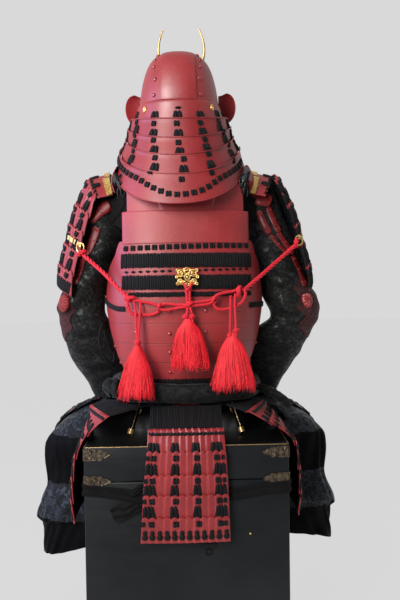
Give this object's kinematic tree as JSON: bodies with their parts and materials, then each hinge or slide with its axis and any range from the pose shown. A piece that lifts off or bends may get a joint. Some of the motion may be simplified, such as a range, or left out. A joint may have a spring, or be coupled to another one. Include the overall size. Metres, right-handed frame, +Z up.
{
  "type": "samurai armour on a storage box with a display stand",
  "caption": "Full suit of laced plate armour with horned helmet, hung on a plain stand over its square lacquered storage box, back view with red cords and tassels.",
  "frame": {"origin": "centre of the storage box's underside, on the floor", "axes": "+Z up; the armour's back faces -Y and its front +Y; the wearer's left is -X"},
  "size_m": [0.785, 0.5354, 1.5845],
  "materials": {
    "red_lacquer": "satin",
    "dark_red_iron": "satin",
    "black_lacquer": "gloss lacquer",
    "black_brocade": "woven",
    "black_velvet": "pile",
    "black_cloth": "matte",
    "black_lace": "braided",
    "gilt": "polished",
    "red_cord": "twisted silk"
  },
  "bodies": {
    "root": {"back_upper_panel": "red_lacquer", "box_body": "black_lacquer", "box_lid": "black_lacquer", "cord_centre": "red_cord", "cord_left": "red_cord", "cord_right": "red_cord", "cuirass_back": "red_lacquer", "cuirass_front": "red_lacquer", "elbow_cap_left": "dark_red_iron", "elbow_cap_right": "dark_red_iron", "gilt_plate": "gilt", "guard_cap_left": "red_lacquer", "guard_cap_right": "red_lacquer", "guard_lames_left": "red_lacquer", "guard_lames_right": "red_lacquer", "helmet_bowl": "red_lacquer", "helmet_brim": "red_lacquer", "helmet_centre_plate": "red_lacquer", "helmet_waist_band": "red_lacquer", "horn_left": "gilt", "horn_right": "gilt", "laces_back_centre": "black_lace", "laces_back_left": "black_lace", "laces_back_right": "black_lace", "nape_plate": "red_lacquer", "neck_lame_1": "red_lacquer", "neck_lame_2": "red_lacquer", "neck_lame_3": "red_lacquer", "neck_lame_4": "red_lacquer", "ring_plate_left": "gilt", "ring_plate_right": "gilt", "sash": "black_cloth", "shoulder_strap_left": "black_velvet", "shoulder_strap_right": "black_velvet", "sleeve_left": "black_brocade", "sleeve_right": "black_brocade", "splints_left": "dark_red_iron", "splints_right": "dark_red_iron", "stand_frame": "black_lacquer", "stand_leg_back_left": "black_lacquer", "stand_leg_back_right": "black_lacquer", "stand_leg_front_left": "black_lacquer", "stand_leg_front_right": "black_lacquer", "tassel_centre": "red_cord", "tassel_left": "red_cord", "tassel_right": "red_cord", "tasset_back_centre": "red_lacquer", "tasset_back_left": "red_lacquer", "tasset_back_right": "red_lacquer", "tasset_front_centre": "red_lacquer", "tasset_side_left": "red_lacquer", "tasset_side_right": "red_lacquer", "thigh_guard_left": "black_brocade", "thigh_guard_right": "black_brocade", "turnback_left": "red_lacquer", "turnback_right": "red_lacquer", "waist_roll": "black_velvet"}
  },
  "joints": []
}
